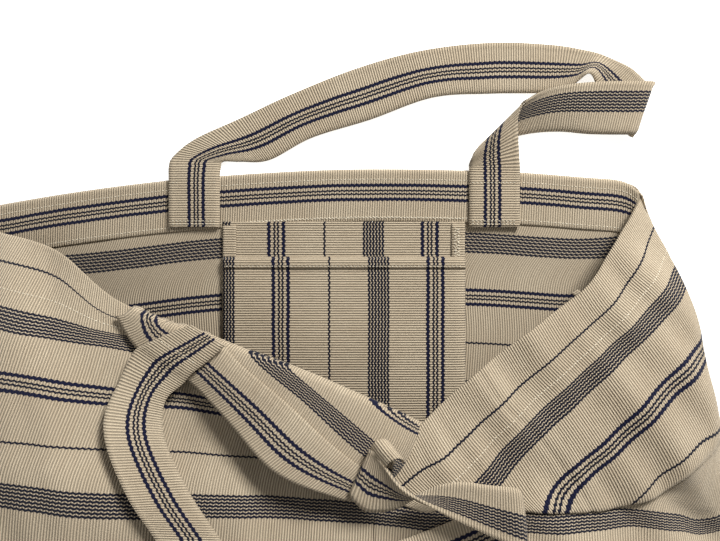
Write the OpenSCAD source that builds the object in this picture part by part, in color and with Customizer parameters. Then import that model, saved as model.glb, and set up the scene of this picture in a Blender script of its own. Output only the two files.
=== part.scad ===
// Large striped cotton sack, lying on its back with the front rim turned out.
// Origin: middle of the back rim, on the surface that the sack lies on.
// +X to the right along the rim, +Y out of the mouth, +Z up.

/* [Sack] */
// Flat width of each wall panel; scales everything across the sack
sack_w = 800; // [600:10:1000]
// Flat height of each wall panel, rim to bottom seam; scales everything down the sack
sack_h = 520; // [400:10:650]
// Loft of the slack front wall, as a share of the built height
loft = 1; // [0.8:0.05:1.2]
// Thickness of one layer of the woven cloth
cloth_t = 1.6; // [1.2:0.1:2]

/* [Hem] */
// Depth of the hem that is turned in round the mouth
hem_w = 50; // [30:1:60]

/* [Pocket] */
// Width of the hanging pocket
pocket_w = 240; // [160:5:260]
// Height of the pocket's back layer
pocket_h = 265; // [200:5:270]
// How far the pocket's front layer starts below its back layer
pocket_drop = 30; // [20:1:50]

/* [Straps] */
// Thickness of the folded and sewn strap
strap_t = 2.4; // [1.6:0.2:3]
// Width of the straps
strap_w = 50; // [40:1:52]
// Length of strap sewn down on the hem
tab_l = 47; // [30:1:48]

/* [Hidden] */

cream = [0.80, 0.74, 0.64];
cream_dark = [0.72, 0.66, 0.55];
thread = [0.88, 0.84, 0.76];

// The key lines below are drawn for a sack of this size
built_w = 800;
built_h = 520;
size = [sack_w / built_w, sack_h / built_h, loft];

mouth_hem = 9;           // depth of the pocket's own hem
side_seam = 13;          // width of the sewn edges at the pocket's sides
hem_row = 4;             // how far the hem's stitches run from its edge
pocket_open = 5.5;       // how far the pocket's front layer stands off its back layer
gap = 0.3;               // air between layers that can move apart
thread_t = 0.8;          // thickness of a line of stitches
thread_w = 1.4;          // width of a line of stitches
rim_dip = 0.00023;       // how fast the back rim bows away from the straight
rim_mid = 50;            // X of the rim's highest point
pocket_x = 1;            // X of the pocket's middle
left_tab_x = -147;       // X of the back strap's sewn ends
right_tab_x = 150;

// The front wall, left to right, in lines from its turned rim down to the bottom seam
wall_top = [[-399, -48, 6], [-331, -63, 22], [-265, -83, 38], [-205, -128, 50], [-130, -157, 56],
            [-50, -184, 60], [30, -218, 61], [110, -248, 56], [190, -273, 62], [270, -296, 80],
            [350, -240, 42]];
wall_upper = [[-405, -160, 34], [-331, -186, 80], [-265, -199, 84], [-205, -211, 76], [-130, -220, 64],
              [-50, -238, 60], [30, -264, 60], [110, -284, 60], [190, -294, 68], [270, -304, 84],
              [358, -274, 44]];
wall_band = [[-412, -262, 40], [-340, -276, 110], [-265, -286, 116], [-205, -295, 110], [-130, -304, 92],
             [-50, -312, 76], [30, -316, 74], [110, -320, 78], [190, -320, 84], [270, -314, 92],
             [362, -308, 46]];
wall_belly = [[-412, -360, 46], [-345, -372, 118], [-265, -385, 124], [-205, -392, 118], [-130, -396, 104],
              [-50, -400, 94], [30, -402, 88], [110, -400, 90], [190, -396, 98], [270, -386, 104],
              [372, -378, 50]];
wall_low = [[-395, -455, 54], [-335, -478, 104], [-265, -490, 116], [-205, -496, 118], [-130, -500, 116],
            [-50, -502, 112], [30, -502, 110], [110, -501, 110], [190, -498, 110], [270, -488, 104],
            [368, -455, 54]];
wall_turn = [[-380, -482, 56], [-335, -512, 78], [-265, -524, 84], [-205, -530, 86], [-130, -534, 86],
             [-50, -536, 86], [30, -536, 86], [110, -535, 86], [190, -532, 84], [270, -522, 80],
             [358, -482, 56]];
wall_seam = [[-368, -490, 54], [-322, -494, 54], [-258, -498, 54], [-200, -500, 54], [-128, -502, 54],
             [-50, -502, 54], [30, -502, 54], [110, -502, 54], [188, -500, 54], [266, -496, 54],
             [344, -490, 54]];

// The right end of the front wall, drawn down across the mouth: from the knot round to the corner,
// in lines at growing distance from the rim
drape_rim = [[44, -264, 66], [75, -238, 62], [112, -205, 58], [151, -174, 52], [191, -144, 45],
             [231, -114, 34], [262, -72, 24], [296, -26, 9]];
drape_1 = [[62, -284, 70], [98, -264, 69], [135, -232, 66], [172, -200, 60], [212, -166, 54],
           [250, -132, 44], [280, -94, 34], [304, -58, 14]];
drape_2 = [[88, -288, 73], [126, -280, 74], [163, -254, 72], [200, -220, 68], [240, -183, 62],
           [276, -150, 50], [302, -126, 42], [321, -106, 28]];
drape_3 = [[104, -291, 76], [160, -300, 80], [204, -286, 82], [243, -253, 80], [285, -212, 72],
           [318, -184, 52], [331, -174, 44], [338, -168, 36]];
drape_edge = [[112, -293, 78], [172, -309, 84], [228, -306, 88], [276, -292, 88], [314, -262, 76],
              [338, -246, 56], [346, -236, 46], [350, -232, 38]];

// The turned-out part of the front wall: its fold line, the edge of the hem on it, and the rim
flap_fold = [[-190, -134, 58], [-159, -146, 60], [-129, -155, 62], [-99, -167, 64], [-31, -192, 66],
             [42, -224, 66]];
flap_ridge = [[-192, -138, 60], [-162, -150, 63], [-132, -162, 66], [-90, -184, 69], [-14, -236, 72],
              [36, -262, 73]];
flap_rim = [[-203, -140, 60], [-182, -171, 62], [-137, -197, 66], [-107, -224, 70], [-59, -273, 82],
            [-8, -294, 84]];

// Pairs of edge points along the straps: [stitched edge, folded edge]
back_loop = [[[-172, 2, 4.5], [-121, 2, 4.5]], [[-169, 12, 4], [-119, 8, 4]], [[-147, 30, 4], [-102, 8, 4]],
             [[-102, 51, 3], [-73, 10, 3]], [[-53, 74, 3], [-31, 32, 3]], [[12, 100, 3], [27, 50, 3]],
             [[77, 118, 3], [89, 72, 3]], [[146, 126, 3], [148, 76, 3]], [[206, 124, 3], [204, 77, 3]],
             [[241, 118, 4], [226, 82, 6]], [[260, 111, 6], [241, 92, 16]], [[285, 101, 4], [256, 72, 6]],
             [[304, 84, 4], [284, 34, 4]], [[306, 86, 9], [288, 35, 9]], [[297, 85, 14], [282, 33, 14]],
             [[252, 84, 16], [243, 34, 11]], [[218, 81, 17], [214, 37, 8]], [[198, 76, 17], [186, 36, 4]],
             [[185, 69, 18], [156, 29, 3]], [[176, 62, 17], [133, 20, 5]], [[171, 45, 14], [127, 11, 9]],
             [[173, 22, 10], [125, 5, 6]], [[177, 2, 6], [125, 2, 5]]];
front_loop = [[[-183, -172, 71], [-139, -200, 74]], [[-194, -198, 80], [-153, -213, 77]],
              [[-202, -224, 92], [-155, -232, 83]], [[-196, -250, 103], [-148, -252, 92]],
              [[-175, -288, 113], [-127, -290, 98]], [[-153, -321, 113], [-101, -328, 99]],
              [[-131, -360, 109], [-84, -351, 101]], [[-87, -389, 107], [-61, -354, 98]],
              [[-25, -400, 99], [-16, -352, 91]], [[59, -382, 96], [45, -336, 87]],
              [[109, -364, 96], [95, -317, 88]], [[152, -342, 98], [148, -290, 93]],
              [[157, -338, 103], [153, -287, 98]], [[150, -332, 108], [148, -283, 103]],
              [[124, -321, 107], [126, -281, 102]], [[101, -311, 105], [104, -279, 100]],
              [[84, -303, 103], [86, -282, 97]], [[66, -294, 101], [70, -291, 92]],
              [[50, -282, 100], [56, -302, 90]], [[39, -268, 98], [42, -308, 88]]];
front_knot = [[[36, -265, 97], [38, -308, 88]], [[31, -256, 95], [22, -308, 89]],
              [[27, -254, 92], [10, -296, 93]], [[27, -256, 86], [8, -293, 89]],
              [[36, -262, 80], [14, -298, 86]], [[48, -268, 78], [30, -304, 84]]];

// Catmull-Rom curve through a list of points, n spans between neighbours
function spline_point(a, b, c, d, t) =
    0.5 * (2 * b + (c - a) * t + (2 * a - 5 * b + 4 * c - d) * t * t + (3 * b - a - 3 * c + d) * t * t * t);
function before(p) = 2 * p[0] - p[1];
function after(p) = 2 * p[len(p) - 1] - p[len(p) - 2];
function spline(p, n) = let (q = concat([before(p)], p, [after(p)]), last = len(p) - 1)
    [for (i = [0:last * n]) let (k = min(floor(i / n), last - 1))
        spline_point(q[k], q[k + 1], q[k + 2], q[k + 3], i / n - k)];
function turned(m) = [for (j = [0:len(m[0]) - 1]) [for (i = [0:len(m) - 1]) m[i][j]]];
function sized(m) = [for (row = m) [for (p = row) [p[0] * size[0], p[1] * size[1], p[2] * size[2]]]];
// A net of points lofted through key lines
function loft_net(lines, n_along, n_down) =
    turned([for (column = turned([for (l = lines) spline(l, n_along)])) spline(column, n_down)]);

// Outward unit direction at a point of a net
function unit(v) = v / max(norm(v), 0.000001);
function at(m, i, j) = m[min(max(i, 0), len(m) - 1)][min(max(j, 0), len(m[0]) - 1)];
function facing(m, i, j) =
    unit(cross(at(m, i, j + 1) - at(m, i, j - 1), at(m, i - 1, j) - at(m, i + 1, j)));
function lifted(m, d) =
    [for (i = [0:len(m) - 1])
        [for (j = [0:len(m[0]) - 1]) m[i][j] + d * facing(m, i, j)]];

// A closed sheet between two nets of the same size
module sheet_between(top, bottom) {
    rows = len(top);
    cols = len(top[0]);
    count = rows * cols;
    points = concat([for (r = top) each r], [for (r = bottom) each r]);
    function k(i, j) = i * cols + j;
    skin = [for (i = [0:rows - 2], j = [0:cols - 2]) each [[k(i, j), k(i, j + 1), k(i + 1, j)],
                                                           [k(i, j + 1), k(i + 1, j + 1), k(i + 1, j)]]];
    under = [for (f = skin) [f[0] + count, f[2] + count, f[1] + count]];
    loop = concat([for (j = [0:cols - 1]) k(0, j)], [for (i = [1:rows - 1]) k(i, cols - 1)],
                  [for (j = [cols - 2:-1:0]) k(rows - 1, j)], [for (i = [rows - 2:-1:1]) k(i, 0)]);
    wall = [for (n = [0:len(loop) - 1]) let (a = loop[n], b = loop[(n + 1) % len(loop)])
        each [[a, a + count, b], [b, a + count, b + count]]];
    polyhedron(points, concat(skin, under, wall));
}

// A sheet of one layer whose middle is the net through the key lines
module sheet(lines, n_along, n_down, thick, above = 0) {
    net = loft_net(sized(lines), n_along, n_down);
    sheet_between(lifted(net, above + thick / 2), lifted(net, above - thick / 2));
}

// A strap between pairs of edge points
module strap(pairs, n_along) sheet(turned(pairs), n_along, 1, strap_t);

// Plan shapes that follow the bow of the back rim
function rim_y(x) = -rim_dip * pow(x - rim_mid, 2);
function band(x0, x1, d0, d1, n = 24) = concat(
    [for (i = [0:n]) let (x = x0 + (x1 - x0) * i / n) [x * size[0], (rim_y(x) - d0) * size[1]]],
    [for (i = [n:-1:0]) let (x = x0 + (x1 - x0) * i / n) [x * size[0], (rim_y(x) - d1) * size[1]]]);
module floor_band(x0, x1, d0, d1, z, h) translate([0, 0, z]) linear_extrude(h) polygon(band(x0, x1, d0, d1));
module plate(x0, x1, y0, y1, z, h) translate([x0, y0, z]) cube([x1 - x0, y1 - y0, h]);

// Heights of the layers that lie on the back wall
hem_z = cloth_t;
tab_z = hem_z + cloth_t;
tab_top = -5;            // Y at which a sewn strap end leaves the hem
tab_hem = 11;            // how far a sewn strap end starts below its first stitches
pocket_back_z = cloth_t + gap;
pocket_inside_z = pocket_back_z + cloth_t;
pocket_front_z = pocket_inside_z + pocket_open;
pocket_top = rim_y(pocket_x - pocket_w / 2) - hem_w - 1;
pocket_mouth = pocket_top - pocket_drop;
pocket_foot = pocket_top - pocket_h;
pocket_left = pocket_x - pocket_w / 2;
pocket_right = pocket_x + pocket_w / 2;

module back_panel() color(cream) linear_extrude(cloth_t) scale([size[0], size[1]]) polygon(concat(
    [for (i = [0:24]) let (x = -390 + 672 * i / 24) [x, rim_y(x)]],
    [[300, -60], [318, -120], [334, -190], [346, -260], [354, -330], [352, -400], [330, -455],
     [250, -470], [-270, -470], [-350, -455], [-385, -400], [-400, -320], [-402, -220], [-398, -120]]));

// Skirt that closes the sack between the back wall and the front wall
bottom_skirt = [wall_seam, [for (p = wall_seam) [p[0] * 0.97, p[1] + 6, 26]],
                [for (p = wall_seam) [p[0] * 0.93, -468, 1]]];
left_skirt = [
              [[-390, -60, 1], [-398, -120, 1], [-402, -220, 1],
                [-400, -320, 1], [-385, -400, 1], [-352, -455, 1]],
              [[-399, -52, 5], [-405, -160, 33], [-412, -262, 39],
                [-412, -360, 45], [-395, -455, 53], [-380, -482, 55]]];
right_skirt = [
               [[350, -232, 36], [356, -270, 40], [362, -308, 45],
                 [372, -378, 49], [368, -455, 53], [358, -482, 55]],
               [[340, -225, 1], [346, -260, 1], [350, -300, 1],
                 [354, -350, 1], [346, -415, 1], [330, -455, 1]]];
right_seam_line = [[228, -114, 34], [270, -146, 48], [310, -178, 50], [338, -214, 44], [352, -262, 42],
                   [360, -308, 44], [370, -378, 48], [366, -455, 53]];
corner_skirt = [[[296, -28, 9], [304, -58, 13], [321, -106, 27], [338, -168, 35], [350, -232, 37]],
                [[292, -34, 1], [298, -60, 1], [312, -106, 1], [328, -168, 1], [340, -225, 1]]];

module front_panel() color(cream) sheet([wall_top, wall_upper, wall_band, wall_belly], 2, 3, cloth_t);
module front_panel_lower() color(cream) sheet([wall_belly, wall_low, wall_turn, wall_seam], 2, 3, cloth_t);
module front_panel_drape() color(cream)
    sheet([drape_rim, drape_1, drape_2, drape_3, drape_edge], 2, 2, cloth_t, 4);
module front_panel_turnout() color(cream) sheet([flap_fold, flap_ridge, flap_rim], 3, 3, cloth_t, 2);
module back_panel_edges() color(cream) {
    sheet(bottom_skirt, 1, 2, cloth_t);
    sheet(left_skirt, 2, 2, cloth_t);
    sheet(right_skirt, 2, 2, cloth_t);
    sheet(corner_skirt, 2, 2, cloth_t);
}

module back_hem() color(cream) floor_band(-378, 276, 0, hem_w, hem_z, cloth_t);

module front_hem() color(cream) sheet([flap_ridge, flap_rim], 3, 3, cloth_t, 2 + cloth_t);

// A sewn edge inside the sack: a narrow strip beside a seam line
module seam_strip(line, in, out, n = 2)
    sheet([[for (p = line) p + in], [for (p = line) p + out]], n, 1, cloth_t);
module left_side_seam() color(cream_dark) seam_strip(left_skirt[1], [4, 0, 0], [12, 0, 0]);
module right_side_seam() color(cream_dark) seam_strip(right_seam_line, [-2, -2, -4], [-9, -7, -4]);
module bottom_seam() color(cream_dark) seam_strip(wall_seam, [0, 5, 0], [0, 13, 0]);

module pocket_back() color(cream)
    plate(pocket_left, pocket_right, pocket_foot, pocket_top, pocket_back_z, cloth_t);
module pocket_front() color(cream) difference() {
    plate(pocket_left, pocket_right, pocket_foot, pocket_mouth, pocket_inside_z, pocket_open + cloth_t);
    plate(pocket_left + cloth_t, pocket_right - cloth_t, pocket_foot + cloth_t, pocket_mouth + 1,
          pocket_inside_z - 1, pocket_open + 1);
}
module pocket_hem() color(cream)
    plate(pocket_left, pocket_right, pocket_mouth - mouth_hem, pocket_mouth, pocket_front_z + cloth_t,
          cloth_t / 2);
module pocket_seam() color(cream_dark) for (x = [pocket_left, pocket_right - side_seam])
    plate(x, x + side_seam, pocket_mouth, pocket_top, pocket_inside_z, cloth_t / 2);
module pocket_top_stitching() color(thread)
    floor_band(pocket_left, pocket_right, hem_w - hem_row, hem_w - hem_row + thread_w,
               hem_z + cloth_t, thread_t);
module pocket_mouth_stitching() color(thread) translate([0, 0, pocket_front_z + 1.5 * cloth_t])
    plate(pocket_left, pocket_right, pocket_mouth - mouth_hem, pocket_mouth - mouth_hem + thread_w,
          0, thread_t);

module back_strap() color(cream) strap(back_loop, 4);
module back_tab(x) plate(x - strap_w / 2, x + strap_w / 2, -tab_l - tab_hem, tab_top, tab_z + gap, strap_t);
module back_strap_left_tab() color(cream) back_tab(left_tab_x);
module back_strap_right_tab() color(cream) back_tab(right_tab_x);
module front_strap() color(cream) strap(front_loop, 4);
module front_strap_left_tab() color(cream)
    strap([[[-132, -148, 73], [-101, -166, 75]], [[-178, -168, 73], [-136, -195, 78]]], 4);
module front_strap_right_tab() color(cream) strap(front_knot, 4);

module back_hem_stitching() color(thread) {
    floor_band(-376, left_tab_x - 30, hem_w - hem_row, hem_w - hem_row + thread_w, hem_z + cloth_t, thread_t);
    floor_band(right_tab_x + 30, 274, hem_w - hem_row, hem_w - hem_row + thread_w, hem_z + cloth_t, thread_t);
}
module front_hem_stitching() color(thread) sheet([[for (p = flap_ridge) p + [-2, -2, 0]],
    [for (p = flap_ridge) p + [-3, -3, 0]]], 4, 1, thread_t, 2 + 1.5 * cloth_t + thread_t / 2);
module tab_stitches(x) for (y = [-14, hem_row - tab_hem - tab_l])
    plate(x - strap_w / 2 + 2, x + strap_w / 2 - 2, y, y + thread_w, tab_z + gap + strap_t, thread_t);
module back_tab_stitching() color(thread) {
    tab_stitches(left_tab_x);
    tab_stitches(right_tab_x);
}
module front_tab_stitching() color(thread)
    sheet([[[-165, -163, 76], [-130, -185, 79]], [[-163, -162, 76], [-128, -184, 79]]], 4, 1, thread_t);

back_panel();
back_panel_edges();
front_panel();
front_panel_lower();
front_panel_drape();
front_panel_turnout();
back_hem();
front_hem();
left_side_seam();
right_side_seam();
bottom_seam();
pocket_back();
pocket_front();
pocket_hem();
pocket_seam();
pocket_top_stitching();
pocket_mouth_stitching();
back_strap();
back_strap_left_tab();
back_strap_right_tab();
front_strap();
front_strap_left_tab();
front_strap_right_tab();
back_hem_stitching();
front_hem_stitching();
back_tab_stitching();
front_tab_stitching();
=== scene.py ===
"""A wide striped cotton sack with two self-cloth straps, lying on its back.

Every length in the tables is in millimetres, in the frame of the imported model. Cloth is made as nets:
key rows run across the sack, each point carries its place and its cloth coordinate (how far it is from
the rim), and a smooth surface is lofted through them. The same cloth coordinate drives the woven stripes.
"""
from __future__ import annotations

import logging
import math
from dataclasses import dataclass, field
from enum import Enum
from typing import Callable, Sequence

import bmesh
import bpy
import numpy as np
from mathutils import Matrix, Vector, noise

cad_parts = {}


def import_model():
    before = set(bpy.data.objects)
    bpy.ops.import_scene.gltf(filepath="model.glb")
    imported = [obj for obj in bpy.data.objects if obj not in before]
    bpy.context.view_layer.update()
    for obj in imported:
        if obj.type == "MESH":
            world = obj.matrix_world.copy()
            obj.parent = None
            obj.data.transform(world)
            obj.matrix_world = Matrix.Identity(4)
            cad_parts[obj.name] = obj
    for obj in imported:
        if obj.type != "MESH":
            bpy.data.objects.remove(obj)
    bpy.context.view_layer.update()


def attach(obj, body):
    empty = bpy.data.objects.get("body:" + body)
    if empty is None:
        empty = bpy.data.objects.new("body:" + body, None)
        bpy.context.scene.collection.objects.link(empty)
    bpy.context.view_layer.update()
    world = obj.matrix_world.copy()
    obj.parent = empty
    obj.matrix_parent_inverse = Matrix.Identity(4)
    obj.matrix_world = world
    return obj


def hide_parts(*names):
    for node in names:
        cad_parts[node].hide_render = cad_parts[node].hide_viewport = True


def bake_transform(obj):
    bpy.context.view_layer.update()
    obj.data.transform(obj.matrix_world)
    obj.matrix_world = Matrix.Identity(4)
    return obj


LOG = logging.getLogger("sack")
MM = 0.001
WIDE_BAND_AT = 71.0                # from the rim to the middle of the first wide band, in millimetres
FOUR_LINES_AT = 125.0              # from the rim to the middle of the first four lines

Point = Sequence[float]
Row = Sequence[Point]


class Body(str, Enum):
    """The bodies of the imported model."""

    SACK = "sack"
    POCKET = "pocket"
    BACK_LOOP = "back_strap_loop"
    FRONT_LOOP = "front_strap_loop"


# ---------------------------------------------------------------------------------------------------
# Finishes
# ---------------------------------------------------------------------------------------------------


def linear(code: str) -> tuple[float, float, float, float]:
    """Turn an sRGB hex colour into linear light.

    Args:
        code: six hex digits.

    Returns:
        Red, green, blue and alpha, linear.
    """
    parts = [int(code[i:i + 2], 16) / 255 for i in (0, 2, 4)]
    return tuple(c / 12.92 if c <= 0.04045 else ((c + 0.055) / 1.055) ** 2.4 for c in parts) + (1.0,)


@dataclass
class Graph:
    """The node tree of one material."""

    name: str
    material: bpy.types.Material = field(init=False)

    def __post_init__(self) -> None:
        """Make an empty material with an output."""
        self.material = bpy.data.materials.new(self.name)
        self.material.use_nodes = True
        self.material.node_tree.nodes.clear()

    def add(self, kind: str, inputs: dict | None = None, **settings: object) -> bpy.types.Node:
        """Add a node with its settings, values and links.

        Args:
            kind: the node's type, without the leading ShaderNode.
            inputs: for each socket (name or number) a value, or another node's output socket.
            settings: attributes of the node.

        Returns:
            The new node.
        """
        node = self.material.node_tree.nodes.new("ShaderNode" + kind)
        for key, value in settings.items():
            setattr(node, key, value)
        for key, value in (inputs or {}).items():
            if isinstance(value, bpy.types.Node):
                value = value.outputs[0]
            if isinstance(value, bpy.types.NodeSocket):
                self.material.node_tree.links.new(value, node.inputs[key])
            else:
                node.inputs[key].default_value = value
        return node

    def mix(self, factor: object, first: object, second: object) -> bpy.types.NodeSocket:
        """Mix two colours, by the numbers of the colour sockets, as Mix has one set for each type.

        Args:
            factor: how much of the second colour there is.
            first: a colour, or the node or socket that gives it.
            second: the same for the second colour.

        Returns:
            The mixed colour.
        """
        return self.add("Mix", {"Factor": factor, 6: first, 7: second}, data_type="RGBA").outputs[2]


@dataclass(frozen=True)
class RibbedCotton:
    """Heavy hand-woven cotton rep: thick weft ribs under fine warp, with navy warp stripes.

    Light and shade on the ribs are painted into the cream as fine lines across the stripes, and the ribs are
    bumped too;
    each navy line steps from rib to rib, so its edges are a small zigzag. Lengths are in millimetres of
    cloth.
    """

    name: str = "ribbed cotton"
    cream: str = "D6C8AE"
    cream_deep: str = "AD9A80"
    navy: str = "090C28"
    navy_thin: str = "0C0F20"
    repeat: float = 147.0          # from one wide band to the next
    wide_at: float = WIDE_BAND_AT  # middle of the wide band, from the rim
    wide_half: float = 10.6        # half the wide band
    line_pitch: float = 3.0        # spacing of the lines in the wide band
    four_at: float = FOUR_LINES_AT - WIDE_BAND_AT    # middle of the four lines, from the wide band
    four_outer: float = 7.0        # thick lines, from the middle of the four
    four_inner: float = 1.7        # thin lines, from the middle of the four
    single_at: float = 100.0       # the single line, from the wide band
    thick: float = 3.3
    thin: float = 1.85
    wide_line: float = 2.05        # width of the lines in the wide band
    rib: float = 2.4               # spacing of the ribs
    step: float = 0.55             # how far a line steps from rib to rib
    rib_level: float = 0.72        # brightness of the cloth half-way down a rib
    rib_painted_contrast: float = 0.27     # painted highlight and shade: how much brighter its crest is painted, and how much darker its hollow

    def make(self) -> bpy.types.Material:
        """Build the material from the cloth's own map.

        Returns:
            The finished material.
        """
        g = Graph(self.name)
        coord = g.add("UVMap", uv_map="cloth")
        split = g.add("SeparateXYZ", {0: coord})
        along, down = split.outputs[0], split.outputs[1]

        def calc(operation: str, *values: object) -> bpy.types.Node:
            """Add one step of arithmetic."""
            return g.add("Math", dict(enumerate(values)), operation=operation)

        wander = g.add("TexNoise", {"Vector": coord, "Scale": 0.02, "Detail": 2.0})
        drift = calc("MULTIPLY_ADD", wander.outputs[0], 1.2, -0.6)
        zigzag = calc("PINGPONG", along, self.rib)
        stepped = calc("MULTIPLY_ADD", zigzag, 2 * self.step / self.rib, -self.step)
        place = calc("ADD", calc("ADD", down, drift), stepped)
        half = self.repeat / 2
        from_wide = calc("SUBTRACT", calc("FLOORED_MODULO", calc("SUBTRACT", place, self.wide_at - half),
                                          self.repeat), half)

        def line(distance: object, width: float, soft: float = 0.28) -> bpy.types.Node:
            """Give 1 on a line of that width and 0 beside it, with soft edges."""
            return g.add("MapRange", {"Value": distance, "From Min": width / 2 + soft,
                                      "From Max": width / 2 - soft}, interpolation_type="SMOOTHSTEP")

        in_wide = line(calc("ABSOLUTE", from_wide), 2 * self.wide_half, 0.1)
        fine = calc("PINGPONG", calc("ADD", from_wide, self.line_pitch / 2), self.line_pitch / 2)
        fine_line = line(calc("SUBTRACT", self.line_pitch / 2, fine), self.wide_line)
        wide = calc("MULTIPLY", in_wide, fine_line)
        from_four = calc("ABSOLUTE", calc("SUBTRACT", from_wide, self.four_at))
        outer = line(calc("ABSOLUTE", calc("SUBTRACT", from_four, self.four_outer)), self.thick)
        inner = line(calc("ABSOLUTE", calc("SUBTRACT", from_four, self.four_inner)), self.thin)
        single = line(calc("ABSOLUTE", calc("SUBTRACT", from_wide, self.single_at - self.repeat)), self.thin)
        thin = calc("MAXIMUM", calc("MAXIMUM", wide, inner), single)

        slub = g.add("TexNoise", {"Vector": g.add("Mapping", {"Vector": coord, "Scale": (0.9, 0.035, 1.0)}),
                                  "Scale": 1.0, "Detail": 3.0})
        cloud = g.add("TexNoise", {"Vector": coord, "Scale": 0.012, "Detail": 3.0})
        deepness = calc("MULTIPLY_ADD", slub.outputs[0], 0.7, calc("MULTIPLY", cloud.outputs[0], 0.5))
        cream = g.mix(deepness, linear(self.cream), linear(self.cream_deep))
        ribs = calc("SINE", calc("MULTIPLY", along, 2 * math.pi / self.rib))
        warp = g.add("TexNoise", {"Vector": g.add("Mapping", {"Vector": coord, "Scale": (0.8, 1.6, 1.0)}),
                                  "Scale": 1.0, "Detail": 2.0})
        # painted highlight on each rib's crest and painted shade in the hollows between ribs; the warp noise
        # below adds the yarn's own uneven tone
        painted_rib_shading = calc("MULTIPLY_ADD", ribs, self.rib_painted_contrast, self.rib_level)
        shade = calc("MULTIPLY", painted_rib_shading, calc("MULTIPLY_ADD", warp.outputs[0], 0.7, 0.65))
        lit = g.add("VectorMath", {0: cream, "Scale": shade}, operation="SCALE")
        dyed = g.mix(outer, g.mix(thin, lit, linear(self.navy_thin)), linear(self.navy))

        height = calc("ADD", calc("MULTIPLY", ribs, 0.5), calc("MULTIPLY", warp.outputs[0], 0.8))
        bump = g.add("Bump", {"Height": height, "Strength": 0.8, "Distance": 0.0008})
        cloth = g.add("BsdfPrincipled", {"Base Color": dyed, "Roughness": 0.92,
                                         "IOR": 1.5, "Specular IOR Level": 0.2, "Sheen Weight": 0.08,
                                         "Sheen Roughness": 0.5, "Normal": bump})
        g.add("OutputMaterial", {"Surface": cloth})
        return g.material


@dataclass(frozen=True)
class SewingThread:
    """Natural cotton sewing thread: twisted, matt, and a little lighter than the cloth."""

    name: str = "sewing thread"
    colour: str = "E2D9C4"
    shaded: str = "CFC4AC"         # between the turns of the twist
    twist: float = 0.5             # mm from one turn of the twist to the next

    def make(self) -> bpy.types.Material:
        """Build the material in object space.

        Returns:
            The finished material.
        """
        g = Graph(self.name)
        coord = g.add("TexCoord")
        twist = g.add("TexWave", {"Vector": coord.outputs["Object"], "Scale": 0.1 / (self.twist * MM),
                                  "Distortion": 2.0}, bands_direction="DIAGONAL")
        colour = g.mix(twist.outputs[1], linear(self.colour), linear(self.shaded))
        bump = g.add("Bump", {"Height": twist.outputs[1], "Strength": 0.4, "Distance": 0.0002})
        thread = g.add("BsdfPrincipled", {"Base Color": colour, "Roughness": 0.8, "IOR": 1.5,
                                          "Sheen Weight": 0.2, "Normal": bump})
        g.add("OutputMaterial", {"Surface": thread})
        return g.material


@dataclass(frozen=True)
class StudioPaper:
    """Smooth white studio paper."""

    name: str = "studio paper"
    colour: str = "FBFBFA"
    glow: float = 0.75             # a little light of its own keeps the paper white under the sack

    def make(self) -> bpy.types.Material:
        """Build the material.

        Returns:
            The finished material.
        """
        g = Graph(self.name)
        paper = g.add("BsdfPrincipled", {"Base Color": linear(self.colour), "Roughness": 0.9,
                                         "Emission Color": linear(self.colour),
                                         "Emission Strength": self.glow})
        g.add("OutputMaterial", {"Surface": paper})
        return g.material


# ---------------------------------------------------------------------------------------------------
# Cloth nets
# ---------------------------------------------------------------------------------------------------


def curve(points: np.ndarray, steps: Sequence[int]) -> np.ndarray:
    """Draw a Catmull-Rom curve through points.

    Args:
        points: one row for each point, of any number of values.
        steps: how many steps to take in each span.

    Returns:
        The points of the curve.
    """
    ends = np.vstack([2 * points[0] - points[1], points, 2 * points[-1] - points[-2]])
    out = []
    for k, count in enumerate(steps):
        a, b, c, d = ends[k:k + 4]
        for t in np.arange(count) / count:
            out.append(0.5 * (2 * b + (c - a) * t + (2 * a - 5 * b + 4 * c - d) * t * t
                              + (3 * b - a - 3 * c + d) * t ** 3))
    out.append(points[-1])
    return np.array(out)


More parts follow.
